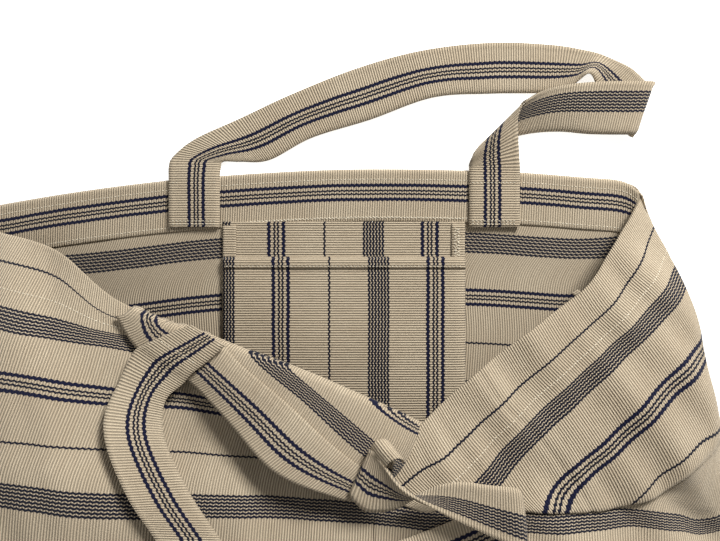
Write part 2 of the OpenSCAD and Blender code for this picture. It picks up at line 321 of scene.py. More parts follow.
@dataclass
class Net:
    """A cloth surface through key rows; each point is (x, y, z, along, down) in millimetres."""

    rows: list[list[tuple[float, ...]]]
    spacing: float = 4.0
    grid: np.ndarray = field(init=False)

    def __post_init__(self) -> None:
        """Loft the surface, with steps of about the spacing both ways."""
        keys = np.array(self.rows, float)
        across = np.linalg.norm(np.diff(keys[:, :, :3], axis=1), axis=2).max(axis=0)
        downwards = np.linalg.norm(np.diff(keys[:, :, :3], axis=0), axis=2).max(axis=1)
        lines = [curve(row, self._steps(across)) for row in keys]
        columns = [curve(column, self._steps(downwards)) for column in np.swapaxes(lines, 0, 1)]
        self.grid = np.swapaxes(np.array(columns), 0, 1)

    def _steps(self, lengths: np.ndarray) -> list[int]:
        """Give the number of steps for each span."""
        return [max(1, math.ceil(length / self.spacing)) for length in lengths]

    def normals(self) -> np.ndarray:
        """Give the upward unit normals of the surface."""
        along = np.gradient(self.grid[:, :, :3], axis=1)
        down = np.gradient(self.grid[:, :, :3], axis=0)
        cross = np.cross(down, along)
        return cross / np.maximum(np.linalg.norm(cross, axis=2, keepdims=True), 1e-9)

    def lift(self, height: np.ndarray | float) -> "Net":
        """Move every point along its normal, in place.

        Args:
            height: millimetres, one value or one for each point.

        Returns:
            The same net.
        """
        height = np.broadcast_to(np.asarray(height, float), self.grid.shape[:2])
        self.grid[:, :, :3] += self.normals() * height[:, :, None]
        return self

    def slack(self, size: float, reach: float, seed: float, stretch: float = 1.0,
              turn: float = 0.0, share: np.ndarray | float = 1.0) -> "Net":
        """Give the cloth soft, uneven waves, which carry on from one net to the next.

        Args:
            size: height of the waves.
            reach: their length from crest to crest.
            seed: picks the waves.
            stretch: how much longer they are along their crests.
            turn: direction across the crests, in degrees from +X.
            share: how much of the height each point takes.

        Returns:
            The same net.
        """
        c, d = math.cos(math.radians(turn)) / reach, math.sin(math.radians(turn)) / reach
        waves = [[noise.noise(Vector((p[0] * c + p[1] * d, (p[1] * c - p[0] * d) / stretch, seed)))
                  for p in row] for row in self.grid]
        self.grid[:, :, 2] += size * share * np.array(waves)
        return self

    def copy(self) -> "Net":
        """Give another net with the same surface."""
        other = object.__new__(Net)
        other.rows, other.spacing, other.grid = self.rows, self.spacing, self.grid.copy()
        return other

    def at_depth(self, depth: float, start: float = 0.0, stop: float = 1.0) -> np.ndarray:
        """Follow the surface at one distance from the rim.

        Args:
            depth: the cloth coordinate to follow.
            start: share of the columns to skip at the beginning.
            stop: share of the columns to stop at.

        Returns:
            Rows of (x, y, z, nx, ny, nz).
        """
        normals = self.normals()
        count = self.grid.shape[1]
        line = []
        for j in range(int(start * (count - 1)), int(stop * (count - 1)) + 1):
            depths = self.grid[:, j, 4]
            for i in range(len(depths) - 1):
                low, high = depths[i], depths[i + 1]
                if low != high and min(low, high) <= depth <= max(low, high):
                    t = (depth - low) / (high - low)
                    place = self.grid[i, j, :3] * (1 - t) + self.grid[i + 1, j, :3] * t
                    line.append(np.concatenate([place, normals[i, j]]))
                    break
        return np.array(line)


def finish_mesh(bm: bmesh.types.BMesh, name: str, material: bpy.types.Material) -> bpy.types.Object:
    """Turn a bmesh into a smooth object with a material.

    Args:
        bm: the mesh, which is freed.
        name: the piece's name.
        material: its finish.

    Returns:
        The new object, at the origin.
    """
    mesh = bpy.data.meshes.new(name)
    for face in bm.faces:
        face.smooth = True
    bm.to_mesh(mesh)
    bm.free()
    mesh.materials.append(material)
    piece = bpy.data.objects.new(name, mesh)
    bpy.context.scene.collection.objects.link(piece)
    return piece


def add_grid(bm: bmesh.types.BMesh, grid: np.ndarray, closed: bool = False) -> None:
    """Add a grid of faces whose points are those of a net, with the cloth map.

    Args:
        bm: the mesh to add to.
        grid: rows and columns of (x, y, z, along, down) in millimetres.
        closed: join the last column to the first.
    """
    rows, cols = grid.shape[:2]
    made = bmesh.ops.create_grid(bm, x_segments=cols - 1, y_segments=rows - 1, size=0.5)["verts"]
    layer = bm.loops.layers.uv.get("cloth") or bm.loops.layers.uv.new("cloth")
    for vert in made:
        j = round((vert.co.x + 0.5) * (cols - 1))
        i = round((0.5 - vert.co.y) * (rows - 1))
        point = grid[i, j]
        vert.co = Vector(point[:3]) * MM
        for loop in vert.link_loops:
            loop[layer].uv = point[3:5]
    if closed:
        bmesh.ops.remove_doubles(bm, verts=made, dist=0.00001)


def cloth_piece(name: str, nets: Sequence[Net], material: bpy.types.Material,
                thick: float = 1.6) -> bpy.types.Object:
    """Make one piece of cloth from its nets.

    Args:
        name: the piece's name.
        nets: its surfaces.
        material: its finish.
        thick: thickness of the cloth, in millimetres.

    Returns:
        The piece.
    """
    bm = bmesh.new()
    for net in nets:
        add_grid(bm, net.grid)
    piece = finish_mesh(bm, name, material)
    solid = piece.modifiers.new("thickness", "SOLIDIFY")
    solid.thickness = thick * MM
    solid.offset = 0.0
    return piece


@dataclass(frozen=True)
class Stitch:
    """One machine stitch as it shows on the cloth."""

    length: float = 2.7
    gap: float = 1.0
    width: float = 0.75
    height: float = 0.55

    def sew(self, name: str, lines: Sequence[np.ndarray], material: bpy.types.Material,
            lift: float = 0.9) -> bpy.types.Object:
        """Sew stitches along lines on the cloth.

        Args:
            name: the piece's name.
            lines: rows of (x, y, z, nx, ny, nz) in millimetres.
            material: the thread.
            lift: height of the thread over the middle of the cloth.

        Returns:
            The piece.
        """
        bm = bmesh.new()
        for line in lines:
            lengths = np.concatenate([[0], np.cumsum(np.linalg.norm(np.diff(line[:, :3], axis=0), axis=1))])
            for start in np.arange(0.5, lengths[-1] - self.length, self.length + self.gap):
                ends = [np.array([np.interp(start + s, lengths, line[:, k]) for k in range(6)])
                        for s in (0, self.length)]
                along = Vector(ends[1][:3] - ends[0][:3]).normalized()
                up = Vector(ends[0][3:])
                up = (up - up.dot(along) * along).normalized()
                middle = (Vector(ends[0][:3]) + Vector(ends[1][:3])) / 2 + up * lift
                turn = Matrix((along, up.cross(along), up)).transposed().to_4x4()
                size = Matrix.Diagonal((self.length * MM / 2, self.width * MM / 2, self.height * MM / 2, 1))
                bmesh.ops.create_uvsphere(bm, u_segments=6, v_segments=4, radius=1.0,
                                          matrix=Matrix.Translation(middle * MM) @ turn @ size)
        return finish_mesh(bm, name, material)


# ---------------------------------------------------------------------------------------------------
# The sack
# ---------------------------------------------------------------------------------------------------


def with_cloth(row: Row, downs: float | Sequence[float], start: float = 0.0) -> list[tuple[float, ...]]:
    """Give a key row its cloth coordinates.

    Args:
        row: points (x, y, z).
        downs: distance from the rim, for the row or for each point.
        start: distance along the rim at the first point.

    Returns:
        Points (x, y, z, along, down).
    """
    depths = list(downs) if isinstance(downs, (list, tuple)) else [downs] * len(row)
    along = start
    out = []
    for k, point in enumerate(row):
        if k:
            along += math.dist(point, row[k - 1])
        out.append((*point, along, depths[k]))
    return out


def rim_y(x: float) -> float:
    """Give the Y of the back rim at an X: it bows a little away from the straight."""
    return -0.00023 * (x - 50) ** 2


@dataclass
class BackWall:
    """The back wall, flat on the ground, with its hem turned in and its sides drawn up."""

    cotton: bpy.types.Material
    thread: bpy.types.Material
    hem: float = 50.0
    floor_gap: float = 0.85        # least height of the middle of the cloth over the ground
    ends: list[tuple[Point, Point, Point, Point]] = field(default_factory=lambda: [
        # left edge, left floor, right floor, right edge
        ((-399, -49, 6), (-386, -44, 1), (284, -13, 1), (296, -26, 9)),
        ((-402, -90, 18), (-394, -84, 1), (296, -58, 1), (304, -58, 13)),
        ((-405, -160, 33), (-399, -130, 1), (314, -110, 1), (322, -108, 27)),
        ((-409, -212, 37), (-401, -190, 1), (328, -168, 1), (338, -168, 34)),
        ((-412, -262, 39), (-402, -240, 1), (341, -228, 1), (350, -232, 36)),
        ((-412, -310, 42), (-402, -300, 1), (350, -300, 1), (361, -308, 44)),
        ((-412, -360, 45), (-398, -350, 1), (354, -350, 1), (371, -378, 48)),
        ((-395, -455, 53), (-378, -415, 1), (346, -415, 1), (367, -455, 52)),
        ((-380, -484, 55), (-350, -458, 1), (328, -458, 1), (357, -484, 55))])

    def panel(self) -> bpy.types.Object:
        """Build the panel: floor, drawn-up sides and bottom end."""
        depths = (0, 55, 105, 165, 225, 300, 350, 418, 462)
        inner = (-265, -130, 0, 130, 230)
        rows = []
        for (left, left_floor, right_floor, right), depth in zip(self.ends, depths):
            middle = [(x, rim_y(x) - depth if depth < 440 else -468, 0.8) for x in inner]
            rows.append(with_cloth([left, left_floor, *middle, right_floor, right], depth))
        rise = [(-374, -492, 54), (-330, -494, 38), *((x, -492, 32) for x in inner),
                (310, -492, 38), (350, -492, 54)]
        top = [(-368, -490, 54), (-322, -494, 54), *((x, -500, 54) for x in inner),
               (308, -493, 54), (344, -490, 54)]
        rows += [with_cloth(rise, 492), with_cloth(top, 515)]
        net = Net(rows)
        raised = np.clip((net.grid[:, :, 2] - 1.2) / 6, 0, 1)
        net.grid[:, :, 2] = np.maximum(net.grid[:, :, 2], self.floor_gap)
        net.lift(0.5 * raised)
        piece = cloth_piece("back_wall_cloth", [net], self.cotton)
        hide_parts("back_panel", "back_panel_edges")
        return piece

    def hem_net(self) -> Net:
        """Loft the hem over the panel, rolled over at the rim and stitched at its lower edge."""
        rows = []
        section = ((3.0, 1.4, 3), (-0.6, 1.7, 0), (1.2, 3.4, -1), (8, 3.0, -8), (20, 2.7, -20),
                   (34, 2.7, -34), (47, 2.5, -47), (49.5, 2.6, -49.5), (51, 1.6, -51))
        for offset, height, depth in section:
            points = [(x, rim_y(x) - offset, height) for x in (-376, -265, -150, 0, 150, 240, 278)]
            points.insert(0, (-395 - offset * 0.05, -46 - offset * 0.95, height + 4))
            points.append((292 + offset * 0.12, -23 - offset * 0.95, height + 6))
            rows.append(with_cloth(points, depth))
        return Net(rows, 3.5).slack(0.5, 45, 8.2)

    def build(self) -> list[bpy.types.Object]:
        """Build the panel, its hem and the hem's stitches."""
        net = self.hem_net()
        hem = cloth_piece("back_hem_cloth", [net], self.cotton, 1.5)
        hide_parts("back_hem")
        rows = [net.at_depth(-46.5), net.at_depth(-9)]
        stitches = Stitch().sew("back_hem_stitches", rows, self.thread)
        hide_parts("back_hem_stitching")
        return [self.panel(), hem, stitches]


@dataclass
class FrontWall:
    """The front wall: bulged over the sack, drawn across the mouth at the right, its rim turned out."""

    cotton: bpy.types.Material
    thread: bpy.types.Material
    hem: float = 50.0
    left: list[tuple[Row, float | list[float]]] = field(default_factory=lambda: [
        ([(-399, -48, 6), (-331, -63, 22), (-265, -83, 38), (-205, -128, 50), (-130, -157, 55),
          (-50, -184, 59), (40, -222, 60)], [0, 0, 0, 5, 50, 80, 108]),
        ([(-402, -72, 13), (-322, -90, 39), (-262, -107, 46), (-206, -143, 53), (-130, -164, 56),
          (-50, -190, 59), (40, -227, 60)], [24, 24, 24, 24, 57, 85, 111]),
        ([(-404, -112, 24), (-318, -138, 65), (-258, -152, 63), (-205, -163, 57), (-130, -178, 57),
          (-50, -202, 59), (40, -237, 60)], [71, 71, 71, 71, 71, 94, 115]),
        ([(-405, -160, 34), (-334, -186, 84), (-265, -199, 85), (-205, -211, 76), (-130, -220, 64),
          (-50, -238, 60), (40, -267, 60)], 125),
        ([(-408, -208, 38), (-342, -234, 99), (-265, -243, 102), (-205, -252, 92), (-128, -262, 73),
          (-50, -272, 64), (38, -286, 63)], 169),
        ([(-412, -262, 40), (-344, -277, 110), (-265, -286, 116), (-205, -295, 110), (-130, -304, 92),
          (-50, -312, 76), (30, -316, 74)], 218),
        ([(-412, -360, 46), (-345, -372, 118), (-265, -385, 124), (-205, -392, 118), (-130, -396, 104),
          (-50, -400, 94), (30, -402, 88)], 312),
        ([(-395, -455, 54), (-335, -478, 104), (-265, -490, 116), (-205, -496, 118), (-130, -500, 116),
          (-50, -502, 112), (30, -502, 110)], 418),
        ([(-380, -482, 56), (-335, -512, 78), (-265, -524, 84), (-205, -530, 86), (-130, -534, 86),
          (-50, -536, 86), (30, -536, 86)], 462),
        ([(-368, -490, 54), (-322, -494, 54), (-258, -498, 54), (-200, -500, 54), (-128, -502, 54),
          (-50, -502, 54), (30, -502, 54)], 510)])
    drape: list[tuple[Row, float | list[float]]] = field(default_factory=lambda: [
        ([(26, -280, 66), (50, -259, 66), (75, -238, 62), (112, -205, 58), (151, -174, 52), (191, -144, 45),
          (231, -114, 34), (262, -72, 24), (296, -26, 9)], 0),
        ([(36, -298, 70), (68, -279, 70), (98, -264, 69), (135, -232, 66), (172, -200, 60), (212, -166, 54),
          (250, -132, 44), (280, -94, 34), (304, -58, 14)], [18, 22, 24, 24, 24, 24, 24, 24, 24]),
        ([(50, -306, 72), (90, -296, 74), (126, -284, 74), (163, -254, 73), (200, -220, 69), (240, -183, 64),
          (274, -152, 55), (300, -128, 47), (321, -106, 28)], [32, 48, 63, 71, 71, 71, 71, 71, 71]),
        ([(62, -310, 73), (108, -303, 77), (156, -300, 80), (204, -286, 82), (243, -253, 80), (284, -213, 74),
          (315, -187, 65), (331, -175, 52), (338, -168, 36)], [40, 66, 99, 125, 125, 125, 125, 125, 125]),
        ([(72, -313, 73), (118, -307, 79), (172, -309, 84), (228, -307, 88), (276, -292, 87), (313, -263, 78),
          (335, -247, 69), (346, -238, 55), (352, -232, 38)], [44, 74, 114, 152, 178, 176, 171, 169, 169])])
    below: list[tuple[Row, float]] = field(default_factory=lambda: [
        ([(30, -316, 74), (64, -318, 76), (110, -320, 78), (192, -320, 84), (262, -318, 87), (298, -324, 80),
          (322, -331, 74), (346, -323, 68), (362, -308, 49)], 218),
        ([(30, -402, 88), (66, -401, 88), (110, -400, 90), (190, -396, 98), (262, -388, 104), (306, -383, 97),
          (338, -380, 86), (360, -378, 68), (372, -378, 50)], 312),
        ([(30, -502, 110), (66, -502, 110), (110, -501, 110), (190, -498, 110), (262, -488, 104),
          (306, -476, 92), (338, -463, 74), (358, -457, 61), (368, -455, 54)], 418),
        ([(30, -536, 86), (66, -536, 86), (110, -535, 86), (190, -532, 84), (260, -523, 80), (302, -506, 73),
          (334, -491, 64), (350, -484, 58), (358, -482, 56)], 462),
        ([(30, -502, 54), (66, -502, 54), (110, -502, 54), (188, -500, 54), (258, -497, 54), (298, -494, 54),
          (326, -492, 54), (338, -490, 54), (344, -490, 54)], 510)])
    flap: list[tuple[Row, float | list[float]]] = field(default_factory=lambda: [
        ([(-186, -150, 58), (-157, -160, 58), (-128, -170, 59), (-98, -182, 60), (-32, -208, 62),
          (42, -242, 62), (80, -262, 50)], [16, 52, 60, 68, 104, 138, 146]),
        ([(-187, -135, 57), (-157, -147, 58), (-127, -156, 60), (-97, -168, 61), (-29, -193, 63),
          (44, -225, 63), (82, -246, 51)], [5, 39, 47, 54, 91, 124, 132]),
        ([(-190, -135, 63), (-159, -148, 65), (-129, -157, 67), (-99, -169, 69), (-31, -195, 71),
          (42, -227, 71), (80, -247, 55)], [2, 36, 43, 52, 88, 121, 129]),
        ([(-193, -138, 64), (-166, -154, 67), (-134, -168, 70), (-102, -182, 73), (-25, -222, 77),
          (40, -252, 77), (70, -266, 60)], [1, 23, 30, 42, 62, 88, 96]),
        ([(-196, -140, 64), (-172, -162, 68), (-136, -184, 72), (-104, -203, 76), (-40, -248, 82),
          (28, -276, 82), (50, -288, 66)], [0, 13, 14, 21, 32, 52, 58]),
        ([(-203, -141, 63), (-181, -171, 67), (-137, -197, 71), (-107, -224, 76), (-59, -273, 86),
          (-4, -296, 86), (22, -304, 74)], [-2, 0, 0, 0, 0, 0, 0])])
    curl: Row = ((26, -252, 92), (32, -259, 97), (39, -267, 98))
    seam_at: float = 612.0         # distance along the rim of the right side seam
    seam_reach: float = 240.0      # how far down from the rim that seam shows
    seam_groove: float = 1.1       # how deep the cloth dips along it
    hem_step: float = 0.9          # how far the hem stands over the wall
    band_clear: float = 1.6        # keeps the wide band below the fold's open end
    meets_x: float = 30.0          # X of the line where the drawn part meets the left part
    folded: tuple[float, ...] = (1, 1, 1, 0.9, 0.4, 0.1, 0, 0, 0)   # how far each column is folded under

    def drawn_net(self) -> Net:
        """Loft the right part: the drawn rim, the fold over the lower wall, and the wall below it."""
        meets = [with_cloth(row, downs)[-1][3] for row, downs in self.left[-len(self.below):]]
        upper = [with_cloth(row, downs, meets[0]) for row, downs in self.drape]
        lower = [with_cloth(row, downs, start) for (row, downs), start in zip(self.below, meets)]
        edge, under = upper[-1], lower[0]
        tucks: list[list[tuple[float, ...]]] = [[], [], []]
        for fold, a, b, above in zip(self.folded, edge, under, upper[-2]):
            a, b, above = np.array(a), np.array(b), np.array(above)
            inward = (above - a)[:3] / max(np.linalg.norm((above - a)[:3]), 1e-6)
            # under the fold: just below its edge, then 16 and 24 mm back from it
            places = ((a[:3] + (1, -2, -4), 2), (a[:3] + 16 * inward + (0, 0, -9), 18),
                      (a[:3] + 24 * inward + (0, 4, -14), 30))
            for k, (place, reach) in enumerate(places):
                straight = a + (b - a) * (k + 1) / 4 - (0, 0, 0, 0, self.band_clear * (k + 1))
                depth = b[4] - math.dist(place, b[:3]) if k == 2 else a[4] + reach
                folded = np.concatenate([place, [a[3], depth]])
                tucks[k].append(tuple(straight * (1 - fold) + folded * fold))
        net = Net([*upper, *tucks, *lower])
        # the stripes run one way only, so no line of the wide band is drawn twice
        net.grid[:, :, 4] = np.maximum.accumulate(net.grid[:, :, 4], axis=0)
        self._hang(net)
        clear_of_left = np.clip((net.grid[:, :, 0] - self.meets_x) / 60, 0, 1)
        net.slack(9.0, 36, 12.7, 3.6, 38, clear_of_left)
        seam = np.exp(-((net.grid[:, :, 3] - self._seam_line(net)) / 3.0) ** 2)
        hem = 1 / (1 + np.exp((net.grid[:, :, 4] - self.hem) / 1.2))
        seen = net.grid[:, :, 4] < self.seam_reach
        return net.lift(self.hem_step * hem - self.seam_groove * seam * seen)

    def _seam_line(self, net: Net) -> np.ndarray:
        """Give the cloth coordinate of the side seam at each depth."""
        return self.seam_at + 0.10 * np.clip(net.grid[:, :, 4], 0, self.seam_reach)

    def left_net(self) -> Net:
        """Loft the left part, from its own rim down to the bottom seam."""
        net = Net([with_cloth(row, downs) for row, downs in self.left])
        return self._hang(net)

    def _hang(self, net: Net) -> Net:
        """Give both parts of the wall the waves that they share."""
        net.slack(10.0, 130, 1.4, 1.6, 60)
        net.slack(5.5, 54, 6.6, 2.2, 20)
        return net.slack(1.8, 22, 3.3, 2.0, 5)

    def flap_net(self) -> Net:
        """Loft the turned-out part, from under its fold to the rim; its inner face is up."""
        net = Net([with_cloth(row, downs, 205) for row, downs in self.flap], 3.0)
        return net.slack(2.4, 46, 9.9, 2.0, -45)

    def curl_net(self) -> Net:
        """Loft the tip of the hem that curls up behind the strap's sewn end."""
        ring = ((0, 0, 0, 0), (4, 6, 4, 8), (10, 8, 3, 15), (15, 5, -3, 22), (16, 0, -13, 32))
        return Net([[(x + dx, y + dy, z + dz, depth, 91 + 4.0 * k) for k, (x, y, z) in enumerate(self.curl)]
                    for dx, dy, dz, depth in ring], 2.0)

    def hem_over(self, net: Net, depth_low: float, depth_high: float, lift: float) -> Net:
        """Cut a hem strip out of a net and lay it beside it, with its own stripes.

        Args:
            net: the wall it is turned in from.
            depth_low: where the strip starts, from the rim.
            depth_high: where it ends.
            lift: how far it lies off the wall, along the normal.

        Returns:
            The strip.
        """
        strip = net.copy()
        normals = strip.normals()
        cols = []
        for j in range(strip.grid.shape[1]):
            column = strip.grid[:, j]
            order = np.argsort(column[:, 4], kind="stable")
            depths = column[order, 4]
            reach = min(depth_high, depths[-1])
            wanted = np.linspace(max(depth_low, depths[0]), reach, 16)
            places = [np.array([np.interp(d, depths, column[order, k]) for k in range(5)]) for d in wanted]
            facing = [np.array([np.interp(d, depths, normals[order, j, k]) for k in range(3)])
                      for d in wanted]
            cols.append([np.concatenate([p[:3] + lift * n, [p[3], -p[4]]])
                         for p, n in zip(places, facing)])
        strip.grid = np.swapaxes(np.array(cols), 0, 1)
        return strip

    def build(self) -> list[bpy.types.Object]:
        """Build the two parts of the wall, the turned-out part, the hem and its stitches."""
        left, drawn, flap = self.left_net(), self.drawn_net(), self.flap_net()
        left_piece = cloth_piece("front_wall_cloth", [left], self.cotton)
        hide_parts("front_panel", "front_panel_lower")
        drawn_piece = cloth_piece("front_wall_drawn_cloth", [drawn], self.cotton)
        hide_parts("front_panel_drape")
        flap_piece = cloth_piece("front_wall_turned_out_cloth", [flap], self.cotton)
        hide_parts("front_panel_turnout")

        turned = self.hem_over(flap, -3, self.hem, 1.8)
        turned.lift(1.3 * np.exp(-((turned.grid[:, :, 4] + self.hem - 2) / 2.2) ** 2))
        strips = [turned, self.hem_over(drawn, 0, self.hem, -2.0), self.hem_over(left, 0, self.hem, -2.0),
                  self.curl_net()]
        hem = cloth_piece("front_hem_cloth", strips, self.cotton, 1.5)
        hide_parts("front_hem")

        rows = [turned.at_depth(-46.5, 0.3), turned.at_depth(-8, 0.05), drawn.at_depth(46.5, 0.12),
                left.at_depth(46.5, 0, 0.62)]
        stitches = Stitch().sew("front_hem_stitches", [r for r in rows if len(r) > 2], self.thread)
        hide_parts("front_hem_stitching")
        return [left_piece, drawn_piece, flap_piece, hem, stitches]


@dataclass
class Seams:
    """The overlocked seams inside the sack."""

    cotton: bpy.types.Material

    def strip(self, name: str, node: str, line: Row, inner: Point, outer: Point,
              length: float) -> bpy.types.Object:
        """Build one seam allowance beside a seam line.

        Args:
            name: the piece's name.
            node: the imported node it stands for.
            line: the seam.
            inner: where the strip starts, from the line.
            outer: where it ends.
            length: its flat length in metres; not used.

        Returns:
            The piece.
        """
        rows = []
        for share in (0.0, 0.5, 1.0):
            move = [inner[k] * (1 - share) + outer[k] * share for k in range(3)]
            points = [tuple(p[k] + move[k] for k in range(3)) for p in line]
            rows.append(with_cloth(points, 96 + 9 * share))
        net = Net(rows, 3.0)
        net.lift(0.7 * np.sin(net.grid[:, :, 3] * 1.1))
        piece = cloth_piece(name, [net], self.cotton)
        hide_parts(node)
        return piece

    def build(self) -> list[bpy.types.Object]:
        """Build the two side seams and the bottom seam."""
        left = [(-399, -60, 8), (-405, -160, 31), (-412, -262, 37), (-412, -360, 43), (-395, -455, 51),
                (-380, -480, 53)]
        right = [(228, -116, 28), (270, -148, 40), (310, -180, 42), (338, -214, 38), (352, -262, 36),
                 (360, -308, 38), (370, -378, 43), (366, -455, 48)]
        bottom = [(-322, -490, 54), (-200, -496, 54), (-50, -498, 54), (110, -498, 54), (266, -492, 54)]
        return [self.strip("left_seam_cloth", "left_side_seam", left, (4, 0, -1), (12, 0, -2), 0.47),
                self.strip("right_seam_cloth", "right_side_seam", right, (-2, -2, -2), (-8, -6, -3), 0.42),
                self.strip("bottom_seam_cloth", "bottom_seam", bottom, (0, 5, 0), (0, 13, 0), 0.6)]


@dataclass
class Pocket:
    """The pocket that hangs from the back hem; its stripes run down it."""

    cotton: bpy.types.Material
    thread: bpy.types.Material
    middle: float = 1.0
    width: float = 240.0
    top: float = -57.6
    mouth: float = -88.0
    foot: float = -322.6
    mouth_hem: float = 9.0
    wide_x: float = 35.3           # X of the wide band on the front layer
    spread: float = 0.965          # cloth per millimetre across, as the pocket lies a little stretched
    back_shift: float = 5.0        # how far the back layer's stripes lie to the left
    sewn_edge: float = 9.0         # width over which a sewn edge comes down
    sewn_drop: float = 3.2         # how far it comes down

    @property
    def left(self) -> float:
        """X of the left edge."""
        return self.middle - self.width / 2

    @property
    def right(self) -> float:
        """X of the right edge."""
        return self.middle + self.width / 2

    def layer(self, sections: Sequence[tuple[float, float]], shift: float, sag: float, seed: float,
              left: float | None = None, right: float | None = None) -> Net:
        """Loft one layer through (y, z) sections.

        Args:
            sections: Y and height of each row, from the top.
            shift: how far the stripes lie to the left.
            sag: height of its waves.
            seed: picks the waves.
            left: X of its left edge, if not the pocket's.
            right: X of its right edge, if not the pocket's.

        Returns:
            The net, whose stripes run down the pocket.
        """
        xs = np.linspace(self.left if left is None else left, self.right if right is None else right, 7)
        rows = []
        travelled = 0.0
        for k, (y, z) in enumerate(sections):
            if k:
                travelled += math.dist(sections[k], sections[k - 1])
            rows.append([(x, y, z, travelled, WIDE_BAND_AT + (x + shift - self.wide_x) * self.spread)
                         for x in xs])
        return Net(rows, 3.5).slack(sag, 60, seed)

    def sew_down(self, net: Net) -> Net:
        """Bring both side edges of a layer down to the layer under it, in place."""
        inside = np.minimum(net.grid[:, :, 0] - self.left, self.right - net.grid[:, :, 0])
        net.grid[:, :, 2] -= self.sewn_drop * (1 - np.sqrt(np.clip(inside / self.sewn_edge, 0, 1)))
        return net

    def overlock(self, x: float, y0: float, y1: float, z: float) -> np.ndarray:
        """Give the zigzag path of overlock thread over an edge."""
        half, pitch = 3.2, 1.6
        steps = np.arange(0, y0 - y1, pitch)
        return np.array([[x + (half if k % 2 else -half), y0 - s, z, 0, 0, 1] for k, s in enumerate(steps)])

    def stitch_line(self, margin: float, y: Callable[[float], float], z: float) -> np.ndarray:
        """Give a level line of stitches across the pocket.

        Args:
            margin: how far it stays inside both edges.
            y: function that gives its Y at an X.
            z: its height.

        Returns:
            Rows of (x, y, z, nx, ny, nz).
        """
        xs = np.linspace(self.left + margin, self.right - margin, 60)
        return np.array([[x, y(x), z, 0, 0, 1] for x in xs])

    def build(self) -> list[bpy.types.Object]:
        """Build both layers, the mouth hem, the sewn sides and all stitches."""
        back = self.layer([(self.top + 6, 4.2), (self.top, 3.6), (self.top - 30, 3.0), (self.top - 90, 2.8),
                           (self.foot + 60, 2.8), (self.foot + 4, 2.8)], self.back_shift, 0.7, 2.2)
        back_piece = cloth_piece("pocket_back_cloth", [back], self.cotton)
        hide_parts("pocket_back")
        front = self.layer([(self.mouth, 8.2), (self.mouth - 30, 8.8), (self.mouth - 110, 8.6),
                            (self.foot + 30, 7.2), (self.foot + 3, 5.6), (self.foot, 3.6)], 0, 1.5, 4.4)
        self.sew_down(front)
        front_piece = cloth_piece("pocket_front_cloth", [front], self.cotton)
        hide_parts("pocket_front")
        turned_to = self.mouth - self.mouth_hem
        hem = self.layer([(self.mouth - 2, 8.6), (self.mouth + 0.9, 9.4), (self.mouth - 1.5, 10.6),
                          (turned_to, 10.6), (turned_to - 1, 9.4)], 0, 0.4, 4.4)
        self.sew_down(hem)
        hem_piece = cloth_piece("pocket_mouth_hem_cloth", [hem], self.cotton, 1.3)
        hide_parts("pocket_hem")
        sides = [self.layer([(self.top + 4, 5.2), (self.mouth - 4, 5.0)], self.back_shift, 0.3, 1.0,
                            self.right - 13, self.right),
                 self.layer([(self.top + 2, 5.0), (self.mouth - 4, 4.8)], 20, 0.3, 1.0,
                            self.left, self.left + 13)]
        side_piece = cloth_piece("pocket_side_seams_cloth", sides, self.cotton, 1.2)
        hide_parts("pocket_seam")
        row = self.stitch_line(3, lambda x: turned_to + 1.2, hem.grid[-3, :, 2].max() - 0.1)
        side = self.overlock(self.right - 8, self.top, self.mouth, 5.9)
        mouth = Stitch().sew("pocket_mouth_stitches", [row, side], self.thread, 0.7)
        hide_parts("pocket_mouth_stitching")
        hang = self.stitch_line(1, lambda x: rim_y(x) - 47.5, 3.2)
        hanging = Stitch().sew("pocket_hanging_stitches", [hang], self.thread)
        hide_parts("pocket_top_stitching")
        for piece in (back_piece, front_piece, hem_piece, side_piece, mouth):
            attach(piece, Body.POCKET.value)
        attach(hanging, Body.SACK.value)
        return [back_piece, front_piece, hem_piece, side_piece, mouth, hanging]


